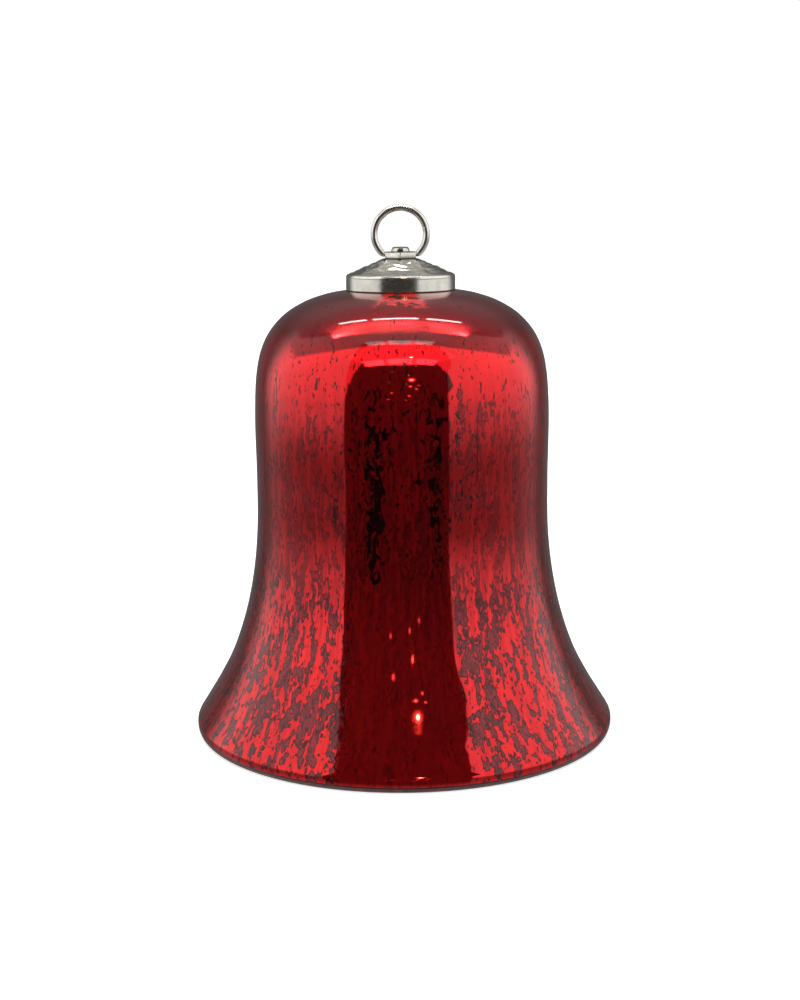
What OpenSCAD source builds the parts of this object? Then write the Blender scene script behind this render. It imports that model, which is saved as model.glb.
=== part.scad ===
// Hanging bell ornament of blown glass with a pressed metal cap, a folding ring and a swinging clapper.
// +Z is up. The origin is the centre of the glass lip's flat foot, and the front is -Y.

/* [Glass bell] */
// Widest diameter, just above the foot of the lip
bell_d = 184; // [176:1:196]
// Height of the shoulder where it meets the cap
glass_h = 192.4; // [184:0.2:204]
// Thickness of the blown wall
wall = 2.8; // [2.4:0.1:3.2]
// Outer diameter of the neck inside the cap
neck_d = 39.6; // [37:0.2:41]

/* [Cap and hub] */
// Outer diameter of the cap's skirt
cap_d = 46.8; // [45.6:0.2:48]
// Height of the cap's upright skirt
skirt_h = 6; // [5:0.1:7]
// Thickness of the cap's sheet metal
cap_t = 0.8; // [0.6:0.1:1]
// Width of the six-sided hub across its flats
hub_af = 13.1; // [12:0.1:14]
// Height of the hub
hub_h = 2.85; // [2.75:0.05:3.2]

/* [Hanging ring] */
// Diameter of the ring along the middle of its wire
ring_d = 22.3; // [21:0.1:24]
// Diameter of the ring's wire
ring_wire_d = 2.8; // [2.2:0.1:3]
// Diameter of the ring's turned-down ends
ring_end_d = 1.6; // [1.2:0.1:1.7]

/* [Clapper] */
// Diameter of the clapper's ball
ball_d = 22; // [18:1:24]
// Height of the ball's centre above the foot
ball_z = 30; // [26:1:40]
// Diameter of the clapper's wire and of the swivel's eye wire
wire_d = 1.8; // [1.4:0.1:2]

/* [Hidden] */

silver = [0.80, 0.79, 0.76];
steel = [0.62, 0.63, 0.65];
seal_black = [0.12, 0.12, 0.12];
ruby = [0.62, 0.04, 0.07];

// Clearance of a running fit, on the radius
run_gap = 0.05;
// Gap left between curved pieces of different bodies
free_gap = 0.3;

// Glass: outer curve of the wall from the lip up to the cap's edge, drawn for a bell 184 wide and
// 192.4 high at the shoulder, as [radius, height]
curve = [[92, 4.2], [90, 9], [87, 13.8], [82, 22], [75.4, 35], [69.7, 52], [65.8, 70], [63.6, 90],
         [63.3, 112], [63.6, 138], [62.3, 159], [58.6, 172], [51.6, 181.3], [42.6, 187.3], [33, 190.8]];
curve_d = 184;
curve_h = 192.4;
curve_end = [9, 0.6];   // the curve leaves its last point inward and up in this proportion
curve_steps = 4;
foot_out = 2.4;         // the lip's foot ends this far inside its widest radius
foot_w = 2;             // width of the flat foot
lip_steps = 6;
foot_inside = [[0.7, 2.2], [1.4, 0.6]];     // rounded inner edge, as [inside foot_r, height]
neck_h = 5.8;           // height of the neck above the shoulder
neck_t = 3;             // thickness of the neck
neck_fillet = [[1.6, 0.25], [0.5, 0.9], [0, 2.2]];  // [outside the neck, above the shoulder]
neck_round = 0.3;
seat_round = 0.6;       // rounding where the bore meets the seat inside
cap_edge = 0.6;         // the shoulder's curve ends this far outside the cap

// Cap: heights from the shoulder
cap_lift = 0.25;        // gap under the skirt's edge
cap_r = cap_d/2;
cap_z = glass_h + cap_lift;
cap_shoulder = [0.6, 0.8];      // width and height of the rounded corner over the skirt
cap_corner = [0.1, 0.45];       // a point on that corner's curve
cap_fold = 0.2;         // the sheet's inner corners are this much tighter
land_r = 7.5;
cone_h = 6.35;
land_z = cap_z + skirt_h + cap_shoulder[1] + cone_h;

// Screw, hub and inner hardware, stacked from the cap's flat top and from the glass
screw_r = 2;
head_r = 3.9;
head_top_r = 3.1;
head_h = 2.05;
head_side = 0.7;        // upright part of the head's side
head_round = [0.3, 0.25];       // width and height of the head's rounded top edge
cut_over = 1;           // a cutting tool reaches this far past a face
hub_top = land_z + hub_h;
lap_t = 0.4;            // thickness, height and end margin of the hub's lapped plate
lap_h = 1.7;
lap_margin = 0.9;
lap_in = 0.5;           // the lapped plate is set this far into the hub
seat_z = glass_h - wall;
gasket_t = 1.6;
gasket_overlap = 1.8;   // the inner gasket reaches this far inside the bore
neck_seal = 0.6;        // the neck gasket is wider than the neck by this, inside and outside
seal_gap = 0.05;        // between the neck gasket's top and the cap
plate_margin = 1;       // the spreader plate is wider than the inner gasket by this
plate_r = 23.5;
plate_t = 1.2;
plate_lip = 2;
plate_edge = 0.5;       // chamfer on the plate's upper edge
washer_t = 1;
washer_r = 3.8;
washer_split = 0.7;
nut_af = 7;
nut_h = 3.2;
washer_z = seat_z - gasket_t - plate_t - washer_t;
nut_z = washer_z - nut_h;
cup_h = 10;
cup_gap = 4.1;          // bare thread between the nut and the cup
cup_z = nut_z - cup_gap - cup_h;
cup_floor = 1.5;
pin_room = 3;           // space over the cup's floor for the swivel's head
screw_end = cup_z + cup_floor + pin_room;
screw_tip = 0.4;

// Swivel: the eye's ring stands in the XZ plane and the rod's loop in the YZ plane
pin_r = 1;
pin_head_r = 1.8;
pin_head_h = 1.2;
pin_lift = 0.1;
pin_in = 0.2;           // the pin is set this far into its head
wire_r = wire_d/2;
eye_r = 3;
eye_drop = 0.7;         // gap between the cup and the eye's wire
eye_z = cup_z - eye_drop - eye_r - wire_r;
loop_r = 3.2;
loop_z = eye_z - eye_r + wire_d + free_gap - loop_r;

// Clapper: the ball has a small flat above and below for the ferrule and the nut
ball_r = ball_d/2;
ball_flat = 0.4;
ferrule_r = 1.8;
ferrule_h = 5;
ferrule_foot = 0.5;     // the ferrule's foot is wider than its body by this
foot_heights = [0.8, 1.2];      // top of the foot's upright side and of its slope
ferrule_chamfer = 0.4;
tip_r = 2.4;
tip_h = 3;
tip_dome = 0.6*tip_r;
rod_depth = 2;          // the rod ends this far inside the nut
rod_end = ball_z - ball_r + ball_flat - rod_depth;

// Ring: its ends lie on a left-right line through the hub, high enough for the wire to clear the cap
hinge_up = 1.65;
ring_r = ring_d/2;
ring_wire_r = ring_wire_d/2;
hinge_z = land_z + hinge_up;
ring_rise = 8.65;       // height of the ring's centre above that line
ring_z = hinge_z + ring_rise;
ring_gap_angle = 44;    // the wire stops this far to each side of straight down
ring_end_r = ring_end_d/2;
ring_end_in = 3.3;      // the ends reach in to this distance from the middle
ring_end_out = 8;

function sized(p) = [p[0]*bell_d/curve_d, p[1]*glass_h/curve_h];
stations = concat([for (p = curve) sized(p)], [[cap_r + cap_edge, glass_h]]);
// One point past each end sets the curve's direction there: upright at the lip, level at the cap
before = [stations[1][0], 2*stations[0][1] - stations[1][1]];
after = [stations[len(stations)-1][0] - curve_end[0], glass_h + curve_end[1]];
knots = concat([before], stations, [after]);

function cubic(a, b, c, d, t) =
    0.5*((2*b) + (c - a)*t + (2*a - 5*b + 4*c - d)*t*t + (3*b - a - 3*c + d)*t*t*t);
outer = concat([for (i = [1:len(knots)-3], s = [0:curve_steps-1])
                   cubic(knots[i-1], knots[i], knots[i+1], knots[i+2], s/curve_steps)],
               [stations[len(stations)-1]]);
function along(i) = outer[min(i + 1, len(outer)-1)] - outer[max(i - 1, 0)];
function inward(i) = [-along(i)[1], along(i)[0]]/norm(along(i));
inner = [for (i = [len(outer)-1:-1:0]) outer[i] + wall*inward(i)];

foot_r = bell_d/2 - foot_out;
lip_z = stations[0][1];
lip = [for (i = [0:lip_steps-1]) let (a = 90*i/lip_steps)
          [foot_r + foot_out*sin(a), lip_z*(1 - cos(a))]];
inner_foot = concat([for (p = foot_inside) [foot_r - p[0], p[1]]], [[foot_r - foot_w, 0]]);
neck_r = neck_d/2;
neck_top = glass_h + neck_h;
bore_r = neck_r - neck_t;
neck_outside = concat([for (p = neck_fillet) [neck_r + p[0], glass_h + p[1]]],
                      [[neck_r, neck_top - neck_round], [neck_r - neck_round, neck_top]]);
neck_inside = [[bore_r + neck_round, neck_top], [bore_r, neck_top - neck_round],
               [bore_r, seat_z + seat_round], [bore_r + seat_round, seat_z]];

module bell_glass() {
    color(ruby)
    rotate_extrude($fn = 96)
        polygon(concat(lip, outer, neck_outside, neck_inside, inner, inner_foot));
}

// Height of the inside of the cap's cone at radius r
cone_in_r = cap_r - cap_shoulder[0];
cone_in_z = land_z - cone_h - 1.1*cap_t;
function cone_inside(r) = cone_in_z + cone_h*(cone_in_r - r)/(cone_in_r - land_r);

module neck_gasket() {
    in_r = bore_r - neck_seal;
    out_r = neck_r + neck_seal;
    color(seal_black)
    rotate_extrude($fn = 72)
        polygon([[in_r, neck_top], [out_r, neck_top], [out_r, cone_inside(out_r) - seal_gap],
                 [in_r, cone_inside(in_r) - seal_gap]]);
}

module cap() {
    skirt_top = cap_z + skirt_h;
    outside = [[cap_r, cap_z], [cap_r, skirt_top],
               [cap_r - cap_corner[0], skirt_top + cap_corner[1]],
               [cap_r - cap_shoulder[0], skirt_top + cap_shoulder[1]],
               [land_r, land_z], [screw_r + run_gap, land_z]];
    inside = [[screw_r + run_gap, land_z - cap_t], [land_r - cap_fold, land_z - cap_t],
              [cone_in_r, cone_in_z], [cap_r - cap_t, skirt_top - cap_fold], [cap_r - cap_t, cap_z]];
    color(silver)
    rotate_extrude($fn = 96)
        polygon(concat(outside, inside));
}

// Six-sided bar with a corner towards -Y and flats towards -X and +X
module hex_bar(af, h) {
    rotate([0, 0, 30]) cylinder(h = h, d = af/cos(30), $fn = 6);
}

module hub() {
    side = hub_af/sqrt(3);
    color(silver)
    difference() {
        union() {
            translate([0, 0, land_z]) hex_bar(hub_af, hub_h);
            // Lapped plate low on the front left face
            rotate([0, 0, -30])
                translate([-side/2 + lap_margin, -hub_af/2 - lap_t, land_z])
                    cube([side - lap_margin, lap_t + lap_in, lap_h]);
        }
        translate([0, 0, land_z - cut_over])
            cylinder(h = hub_h + 2*cut_over, r = screw_r + run_gap, $fn = 48);
        // Blind holes for the ring's two ends
        for (side_x = [-1, 1])
            translate([side_x*(ring_end_in - free_gap), 0, hinge_z])
                rotate([0, side_x*90, 0]) cylinder(h = hub_af, r = ring_end_r + run_gap, $fn = 48);
    }
}

module hanger_screw() {
    color(silver)
    rotate_extrude($fn = 64)
        polygon([[0, screw_end], [screw_r - screw_tip, screw_end], [screw_r, screw_end + screw_tip],
                 [screw_r, hub_top], [head_r, hub_top], [head_r, hub_top + head_side],
                 [head_top_r + head_round[0], hub_top + head_h - head_round[1]],
                 [head_top_r, hub_top + head_h],
                 [0, hub_top + head_h]]);
}

module ring_washer(z, h, in_r, out_r) {
    translate([0, 0, z]) difference() {
        cylinder(h = h, r = out_r, $fn = 72);
        translate([0, 0, -cut_over]) cylinder(h = h + 2*cut_over, r = in_r, $fn = 72);
    }
}

module inner_gasket() {
    color(seal_black) ring_washer(seat_z - gasket_t, gasket_t, bore_r - gasket_overlap,
                                  plate_r - plate_margin);
}

module spreader_plate() {
    top = seat_z - gasket_t;
    color(steel)
    rotate_extrude($fn = 72)
        polygon([[screw_r + run_gap, top - plate_t], [screw_r + run_gap, top], [plate_r - plate_edge, top],
                 [plate_r, top - plate_edge], [plate_r, top - plate_t - plate_lip],
                 [plate_r - plate_t, top - plate_t - plate_lip], [plate_r - plate_t, top - plate_t]]);
}

module lock_washer() {
    color(steel)
    difference() {
        ring_washer(washer_z, washer_t, screw_r + run_gap, washer_r);
        translate([0, -washer_split/2, washer_z - cut_over])
            cube([washer_r + cut_over, washer_split, washer_t + 2*cut_over]);
    }
}

module clamp_nut() {
    color(steel)
    difference() {
        translate([0, 0, nut_z]) hex_bar(nut_af, nut_h);
        translate([0, 0, nut_z - cut_over]) cylinder(h = nut_h + 2*cut_over, r = screw_r, $fn = 48);
    }
}

module swivel_cup() {
    color(steel)
    difference() {
        translate([0, 0, cup_z]) hex_bar(nut_af, cup_h);
        translate([0, 0, cup_z + cup_floor]) cylinder(h = cup_h, r = screw_r, $fn = 48);
        translate([0, 0, cup_z - cut_over])
            cylinder(h = cup_floor + 2*cut_over, r = pin_r + run_gap, $fn = 48);
    }
}

module wire_ring(mid_r, r) {
    rotate_extrude($fn = 72) translate([mid_r, 0]) circle(r = r, $fn = 32);
}

module swivel_eye() {
    pin_z = eye_z + eye_r;
    floor_z = cup_z + cup_floor + pin_lift;
    color(silver)
    union() {
        translate([0, 0, eye_z]) rotate([90, 0, 0]) wire_ring(eye_r, wire_r);
        translate([0, 0, pin_z]) cylinder(h = floor_z - pin_z + pin_in, r = pin_r, $fn = 48);
        translate([0, 0, floor_z]) cylinder(h = pin_head_h, r = pin_head_r, $fn = 48);
    }
}

module clapper_rod() {
    loop_bottom = loop_z - loop_r;
    color(silver)
    union() {
        translate([0, 0, loop_z]) rotate([0, 90, 0]) wire_ring(loop_r, wire_r);
        translate([0, 0, rod_end]) cylinder(h = loop_bottom - rod_end, r = wire_r, $fn = 32);
    }
}

module clapper_ferrule() {
    z = ball_z + ball_r - ball_flat;
    color(silver)
    rotate_extrude($fn = 48)
        polygon([[wire_r, z], [ferrule_r + ferrule_foot, z], [ferrule_r + ferrule_foot, z + foot_heights[0]],
                 [ferrule_r, z + foot_heights[1]], [ferrule_r, z + ferrule_h - ferrule_chamfer],
                 [ferrule_r - ferrule_chamfer, z + ferrule_h], [wire_r, z + ferrule_h]]);
}

module clapper_ball() {
    flat_h = 2*(ball_r - ball_flat);
    color(silver)
    difference() {
        intersection() {
            translate([0, 0, ball_z]) sphere(r = ball_r, $fn = 96);
            translate([0, 0, ball_z - flat_h/2]) cylinder(h = flat_h, r = ball_r + cut_over, $fn = 96);
        }
        translate([0, 0, ball_z - ball_r]) cylinder(h = ball_d, r = wire_r, $fn = 32);
    }
}

module clapper_nut() {
    top = ball_z - ball_r + ball_flat;
    color(silver)
    difference() {
        rotate_extrude($fn = 48)
            polygon(concat([[0, top], [tip_r, top], [tip_r, top - tip_h + tip_dome]],
                           [for (a = [15:15:90])
                               [tip_r*cos(a), top - tip_h + tip_dome*(1 - sin(a))]]));
        translate([0, 0, rod_end]) cylinder(h = rod_depth + cut_over, r = wire_r, $fn = 32);
    }
}

module hanging_ring() {
    span = 360 - 2*ring_gap_angle;
    color(silver)
    union() {
        translate([0, 0, ring_z]) rotate([90, 0, 0]) rotate([0, 0, -90 + ring_gap_angle])
            rotate_extrude(angle = span, $fn = 120) translate([ring_r, 0]) circle(r = ring_wire_r, $fn = 40);
        for (side_x = [-1, 1])
            translate([side_x*ring_end_in, 0, hinge_z]) rotate([0, side_x*90, 0])
                cylinder(h = ring_end_out - ring_end_in, r = ring_end_r, $fn = 48);
    }
}

bell_glass();
neck_gasket();
cap();
hub();
hanger_screw();
inner_gasket();
spreader_plate();
lock_washer();
clamp_nut();
swivel_cup();
swivel_eye();
clapper_rod();
clapper_ferrule();
clapper_ball();
clapper_nut();
hanging_ring();
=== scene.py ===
"""Looks of a hanging bell ornament: red silvered glass, a pressed metal cap, a folding ring and a
clapper. Metres, +Z up, front towards -Y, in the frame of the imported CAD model."""
import itertools
import math
from types import SimpleNamespace

import bmesh
import bpy
from mathutils import Matrix, Vector, noise


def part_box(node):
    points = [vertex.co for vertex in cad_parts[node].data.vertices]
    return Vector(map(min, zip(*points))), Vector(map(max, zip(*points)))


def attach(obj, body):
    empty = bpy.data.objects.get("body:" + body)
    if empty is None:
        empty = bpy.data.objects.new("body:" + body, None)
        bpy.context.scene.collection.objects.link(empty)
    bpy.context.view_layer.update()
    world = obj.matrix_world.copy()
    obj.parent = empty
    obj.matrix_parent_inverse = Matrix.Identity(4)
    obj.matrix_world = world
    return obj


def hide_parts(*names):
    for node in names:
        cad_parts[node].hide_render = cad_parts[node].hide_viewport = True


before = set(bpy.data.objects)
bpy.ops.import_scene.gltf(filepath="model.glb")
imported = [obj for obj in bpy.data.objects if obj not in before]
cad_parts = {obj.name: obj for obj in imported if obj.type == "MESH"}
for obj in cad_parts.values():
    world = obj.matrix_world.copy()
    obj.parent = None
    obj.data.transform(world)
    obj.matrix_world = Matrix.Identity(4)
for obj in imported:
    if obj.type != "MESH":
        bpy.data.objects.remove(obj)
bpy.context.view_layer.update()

MM = 0.001
_, glass_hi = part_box("bell_glass")
cap_lo, cap_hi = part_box("cap")
hub_lo, hub_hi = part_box("hub")
screw_lo, screw_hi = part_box("hanger_screw")
ring_lo, ring_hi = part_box("hanging_ring")
eye_lo, eye_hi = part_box("swivel_eye")
rod_lo, rod_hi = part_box("clapper_rod")
ball_lo, ball_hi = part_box("clapper_ball")
tip_lo, tip_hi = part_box("clapper_nut")
ferrule_lo, ferrule_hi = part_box("clapper_ferrule")

# ---------------------------------------------------------------- meshes


def fillet(corners, closed=True, steps=5):
    """(r, z, rounding) corners in millimetres as a smooth outline of (r, z) points in metres."""
    points = []
    count = len(corners)
    for i, (r, z, rounding) in enumerate(corners):
        p = Vector((r, z))
        inside = closed or 0 < i < count - 1
        if rounding <= 0 or not inside:
            points.append(p * MM)
            continue
        a = Vector(corners[i - 1][:2]) - p
        b = Vector(corners[(i + 1) % count][:2]) - p
        half = a.angle(b) / 2
        reach = min(rounding / math.tan(half), 0.48 * a.length, 0.48 * b.length)
        start = p + a.normalized() * reach
        end = p + b.normalized() * reach
        for s in range(steps + 1):
            t = s / steps
            points.append(((1 - t) ** 2 * start + 2 * t * (1 - t) * p + t * t * end) * MM)
    return points


def placed(name, data):
    """A new object in the scene."""
    obj = bpy.data.objects.new(name, data)
    bpy.context.scene.collection.objects.link(obj)
    return obj


def finished(name, bm, smooth_angle=35, weighted=True):
    """Makes the object from a bmesh, shaded smooth with its real edges kept."""
    bmesh.ops.remove_doubles(bm, verts=bm.verts, dist=1e-7)
    bmesh.ops.recalc_face_normals(bm, faces=bm.faces)
    mesh = bpy.data.meshes.new(name)
    bm.to_mesh(mesh)
    bm.free()
    mesh.shade_smooth()
    mesh.set_sharp_from_angle(angle=math.radians(smooth_angle))
    obj = placed(name, mesh)
    if weighted:
        modifier = obj.modifiers.new("weighted", "WEIGHTED_NORMAL")
        modifier.keep_sharp = True
    return obj


def lathe_into(bm, outline, segments=128, closed=True, shift=None):
    """Turns an outline of (r, z) round Z. shift moves a point: it takes and gives (r, z, angle)."""
    rings = []
    for r, z in outline:
        if r < 1e-6:
            rings.append([bm.verts.new((0, 0, z))])
            continue
        ring = []
        for s in range(segments):
            angle = 2 * math.pi * s / segments
            rr, zz = shift(r, z, angle) if shift else (r, z)
            ring.append(bm.verts.new((rr * math.sin(angle), -rr * math.cos(angle), zz)))
        rings.append(ring)
    spans = len(rings) if closed else len(rings) - 1
    made = []
    for i in range(spans):
        a, b = rings[i], rings[(i + 1) % len(rings)]
        if len(a) == 1 and len(b) == 1:
            continue
        for s in range(segments):
            n = (s + 1) % segments
            if len(a) == 1:
                made.append(bm.faces.new((a[0], b[n], b[s])))
            elif len(b) == 1:
                made.append(bm.faces.new((a[s], a[n], b[0])))
            else:
                made.append(bm.faces.new((a[s], a[n], b[n], b[s])))
    return made


def lathe(name, outline, segments=128, closed=True, shift=None, **kept):
    """A turned object. kept goes to finished."""
    bm = bmesh.new()
    lathe_into(bm, outline, segments, closed, shift)
    return finished(name, bm, **kept)


def skin(bm, rings):
    """Faces between rings of vertices, and over both ends."""
    for a, b in zip(rings, rings[1:]):
        for s in range(len(a)):
            n = (s + 1) % len(a)
            bm.faces.new((a[s], a[n], b[n], b[s]))
    bm.faces.new(rings[0])
    bm.faces.new(rings[-1])


def sweep_into(bm, path, radii, sides=24, up=Vector((0, 1, 0))):
    """A wire along path, with a radius at each point and round closed ends."""
    points = [Vector(p) for p in path]
    loops = []
    for i, p in enumerate(points):
        ahead = points[min(i + 1, len(points) - 1)]
        behind = points[max(i - 1, 0)]
        along = (ahead - behind).normalized()
        side = along.cross(up).normalized()
        over = side.cross(along)
        loops.append((p, along, side, over, radii[i]))
    rings = []

    def ring(p, side, over, radius):
        turn = [2 * math.pi * s / sides for s in range(sides)]
        rings.append([bm.verts.new(p + radius * (math.cos(a) * side + math.sin(a) * over)) for a in turn])

    cap_steps = 5
    p, along, side, over, radius = loops[0]
    for s in range(1, cap_steps):
        bend = math.pi / 2 * s / cap_steps
        ring(p - along * radius * math.cos(bend), side, over, radius * math.sin(bend))
    for p, along, side, over, radius in loops:
        ring(p, side, over, radius)
    for s in range(cap_steps - 1, 0, -1):
        bend = math.pi / 2 * s / cap_steps
        ring(p + along * radius * math.cos(bend), side, over, radius * math.sin(bend))
    skin(bm, rings)


def hexagon_into(bm, across_flats, z0, z1, chamfer=0.0):
    """A six-sided bar with a corner towards -Y. chamfer turns its end corners down, as on a nut."""
    corner = across_flats / math.sqrt(3)
    drop = chamfer * 0.6
    levels = [(z0 + drop, corner), (z1 - drop, corner)]
    if chamfer:
        levels = [(z0, corner - chamfer), *levels, (z1, corner - chamfer)]
    rings = []
    for z, radius in levels:
        turn = [math.radians(60 * s) for s in range(6)]
        rings.append([bm.verts.new((radius * math.sin(a), -radius * math.cos(a), z)) for a in turn])
    skin(bm, rings)


def block_into(bm, centre, size, turn):
    """A block in the mesh, turned about Z by turn radians, for the bevel to round."""
    c, s = math.cos(turn), math.sin(turn)
    made = {}
    for signs in itertools.product((-1, 1), repeat=3):
        x, y, z = (sign * side / 2 for sign, side in zip(signs, size))
        made[signs] = bm.verts.new((centre[0] + c * x - s * y, centre[1] + s * x + c * y, centre[2] + z))
    round_a_face = ((-1, -1), (1, -1), (1, 1), (-1, 1))
    for axis in range(3):
        for end in (-1, 1):
            corners = [list(pair) for pair in round_a_face]
            for corner in corners:
                corner.insert(axis, end)
            bm.faces.new([made[tuple(corner)] for corner in corners])


def bevelled(obj, width, segments=3):
    """Rounds the object's sharp edges, before its other modifiers."""
    modifier = obj.modifiers.new("bevel", "BEVEL")
    modifier.width = width
    modifier.segments = segments
    modifier.limit_method = "ANGLE"
    modifier.angle_limit = math.radians(30)
    obj.modifiers.move(len(obj.modifiers) - 1, 0)


def cut(obj, cutter):
    """Cuts cutter's shape out of obj and removes cutter."""
    modifier = obj.modifiers.new("cut", "BOOLEAN")
    modifier.operation = "DIFFERENCE"
    modifier.solver = "EXACT"
    modifier.object = cutter
    bpy.context.view_layer.update()
    evaluated = obj.evaluated_get(bpy.context.evaluated_depsgraph_get())
    mesh = bpy.data.meshes.new_from_object(evaluated)
    obj.modifiers.clear()
    obj.data = mesh
    bpy.data.objects.remove(cutter)


def drilled(obj, drill):
    """Cuts a drill's mesh out of obj and shades it again with its real edges kept."""
    cut(obj, finished(obj.name + "_drill", drill, weighted=False))
    obj.data.shade_smooth()
    obj.data.set_sharp_from_angle(angle=math.radians(28))


def arc(centre, radius, first, last, steps, plane="xz"):
    """Points on an arc. 0 degrees is along +X (or +Y), 90 straight up."""
    points = []
    for i in range(steps + 1):
        a = math.radians(first + (last - first) * i / steps)
        flat, up = radius * math.cos(a), radius * math.sin(a)
        points.append(centre + (Vector((flat, 0, up)) if plane == "xz" else Vector((0, flat, up))))
    return points


def bezier(p0, p1, p2, p3, steps):
    """Points on the curve from p0 to p3, steered by p1 and p2."""
    return [(1 - t) ** 3 * p0 + 3 * t * (1 - t) ** 2 * p1 + 3 * t * t * (1 - t) * p2 + t ** 3 * p3
            for t in (i / steps for i in range(steps + 1))]


# ---------------------------------------------------------------- node trees


class Tree:
    """Short names for shader nodes. Each call adds nodes and gives the last one's output socket."""

    def __init__(self, tree):
        self.nodes = tree.nodes
        self.links = tree.links
        self.nodes.clear()

    def put(self, socket, value):
        if isinstance(value, bpy.types.NodeSocket):
            self.links.new(value, socket)
        else:
            socket.default_value = value

    def add(self, kind, **settings):
        node = self.nodes.new(kind)
        for key, value in settings.items():
            setattr(node, key, value)
        return node

    def output_of(self, kind, output, inputs, **settings):
        """One output of a new node. inputs is a dict, by name or by number."""
        node = self.add(kind, **settings)
        for key, value in inputs.items():
            if value is not None:
                self.put(node.inputs[key], value)
        return node.outputs[output]

    def math(self, operation, *values):
        return self.output_of("ShaderNodeMath", 0, dict(enumerate(values)), operation=operation)

    def times(self, value, *others):
        """The product of all the values."""
        for other in others:
            value = self.math("MULTIPLY", value, other)
        return value

    def fit(self, value, scale, shift):
        """The value times scale, plus shift."""
        return self.math("MULTIPLY_ADD", value, scale, shift)

    def off(self, value, middle):
        """How far a value is from middle, either way."""
        return self.math("ABSOLUTE", self.math("SUBTRACT", value, middle))

    def vector(self, operation, a, b=None, scale=None):
        output = "Value" if operation in ("LENGTH", "DOT_PRODUCT") else "Vector"
        inputs = {0: a, 1: b, "Scale": scale}
        return self.output_of("ShaderNodeVectorMath", output, inputs, operation=operation)

    def xyz(self, vector):
        node = self.add("ShaderNodeSeparateXYZ")
        self.put(node.inputs[0], vector)
        return node.outputs

    def join(self, x, y, z):
        return self.output_of("ShaderNodeCombineXYZ", 0, {0: x, 1: y, 2: z})

    def noise(self, vector, scale, detail=3.0, roughness=0.5, distortion=0.0):
        inputs = {"Vector": vector, "Scale": scale, "Detail": detail, "Roughness": roughness,
                  "Distortion": distortion}
        return self.output_of("ShaderNodeTexNoise", "Fac", inputs)

    def step(self, value, low, high, out_low=0.0, out_high=1.0, **settings):
        """From out_low at low to out_high at high with a soft start and end. low may be the larger."""
        inputs = dict(enumerate((value, low, high, out_low, out_high)))
        settings = settings or {"interpolation_type": "SMOOTHSTEP"}
        return self.output_of("ShaderNodeMapRange", 0, inputs, **settings)

    def line(self, *levels):
        """The same in a straight line."""
        return self.step(*levels, clamp=True)

    def ramp(self, value, stops):
        """stops are (place, grey) pairs."""
        node = self.add("ShaderNodeValToRGB")
        band = node.color_ramp
        while len(band.elements) < len(stops):
            band.elements.new(0.5)
        for element, (place, grey) in zip(band.elements, stops):
            element.position = place
            element.color = (grey, grey, grey, 1)
        self.put(node.inputs[0], value)
        return node.outputs[0]

    def mix(self, amount, a, b):
        """The Mix node has inputs for each data type: 0 is the factor, and 6 and 7 are the colours."""
        return self.output_of("ShaderNodeMix", 2, {0: amount, 6: rgba(a), 7: rgba(b)}, data_type="RGBA")

    def cells(self, vector, scale):
        """Distance to the nearest of many scattered points, 0 at a point."""
        inputs = {"Vector": vector, "Scale": scale, "Smoothness": 0.25}
        return self.output_of("ShaderNodeTexVoronoi", "Distance", inputs, feature="SMOOTH_F1")

    def bump(self, height, strength, distance, normal=None):
        inputs = {"Strength": strength, "Distance": distance, "Height": height, "Normal": normal}
        return self.output_of("ShaderNodeBump", 0, inputs)

    def object_place(self):
        return self.add("ShaderNodeTexCoord").outputs["Object"]


def rgba(value):
    return (*value, 1) if isinstance(value, tuple) and len(value) == 3 else value


def material(name):
    """A new material with its tree and its Principled shader."""
    made = bpy.data.materials.new(name)
    made.use_nodes = True
    tree = Tree(made.node_tree)
    shader = tree.add("ShaderNodeBsdfPrincipled")
    output = tree.add("ShaderNodeOutputMaterial")
    tree.links.new(shader.outputs[0], output.inputs[0])
    return made, tree, shader.inputs


# ---------------------------------------------------------------- glass materials

GLASS_R = glass_hi.x
NECK_TOP = glass_hi.z
SHOULDER_Z = NECK_TOP - 5.8 * MM
LIP_BARE = 2.0 * MM             # the coating stops this far above the foot


def flat(tree, place):
    """The place without its height: the way out from the axis."""
    return tree.vector("MULTIPLY", place, (1, 1, 0))


def around(tree, place):
    """The direction out from the axis: across is 1 on the right, and along is -1 in front."""
    across, along, _ = tree.xyz(tree.vector("NORMALIZE", flat(tree, place)))
    return across, along


def round_the_bell(tree, place, stretch):
    """Pattern coordinates that go round the bell and along its slope; stretch under 1 draws them out
    along the slope. Also gives the height."""
    pattern_r = 0.075
    lean = -0.55                # the flare's radius taken off the height, so that it follows the slope
    height = tree.xyz(place)[2]
    out = flat(tree, place)
    radius = tree.vector("LENGTH", out)
    round_part = tree.vector("SCALE", tree.vector("NORMALIZE", out), scale=pattern_r)
    slope = tree.fit(radius, lean, height)
    along = tree.join(0.0, 0.0, tree.times(slope, stretch))
    return tree.vector("ADD", round_part, along), height


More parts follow.
